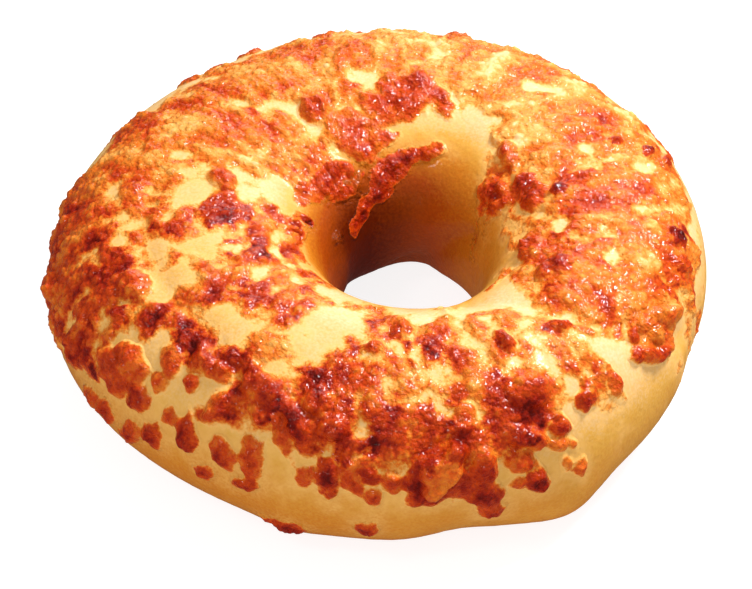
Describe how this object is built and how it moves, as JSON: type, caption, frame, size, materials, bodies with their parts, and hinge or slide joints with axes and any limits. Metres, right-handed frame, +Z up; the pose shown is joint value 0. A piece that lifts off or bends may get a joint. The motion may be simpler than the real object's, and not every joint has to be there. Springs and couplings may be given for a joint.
{
  "type": "cheese bagel",
  "caption": "Plump baked bagel: a round dough ring with a through hole and a browned, blistered cheese crust over its top and shoulders.",
  "frame": {"origin": "on the surface that the bagel stands on, under the middle of its outline", "axes": "+Z up through the hole; the pictured side, with the most drips, faces -Y"},
  "size_m": [0.116, 0.1161, 0.0369],
  "materials": {
    "dough_crust": "baked bread crust, pale gold to tan, satin, with a yellow-orange fringe of fat where the cheese melted",
    "cheese_crust": "melted and browned cheese, orange to dark red-brown, blistered, with oily highlights"
  },
  "bodies": {
    "root": {"bagel": "dough_crust"}
  },
  "joints": []
}
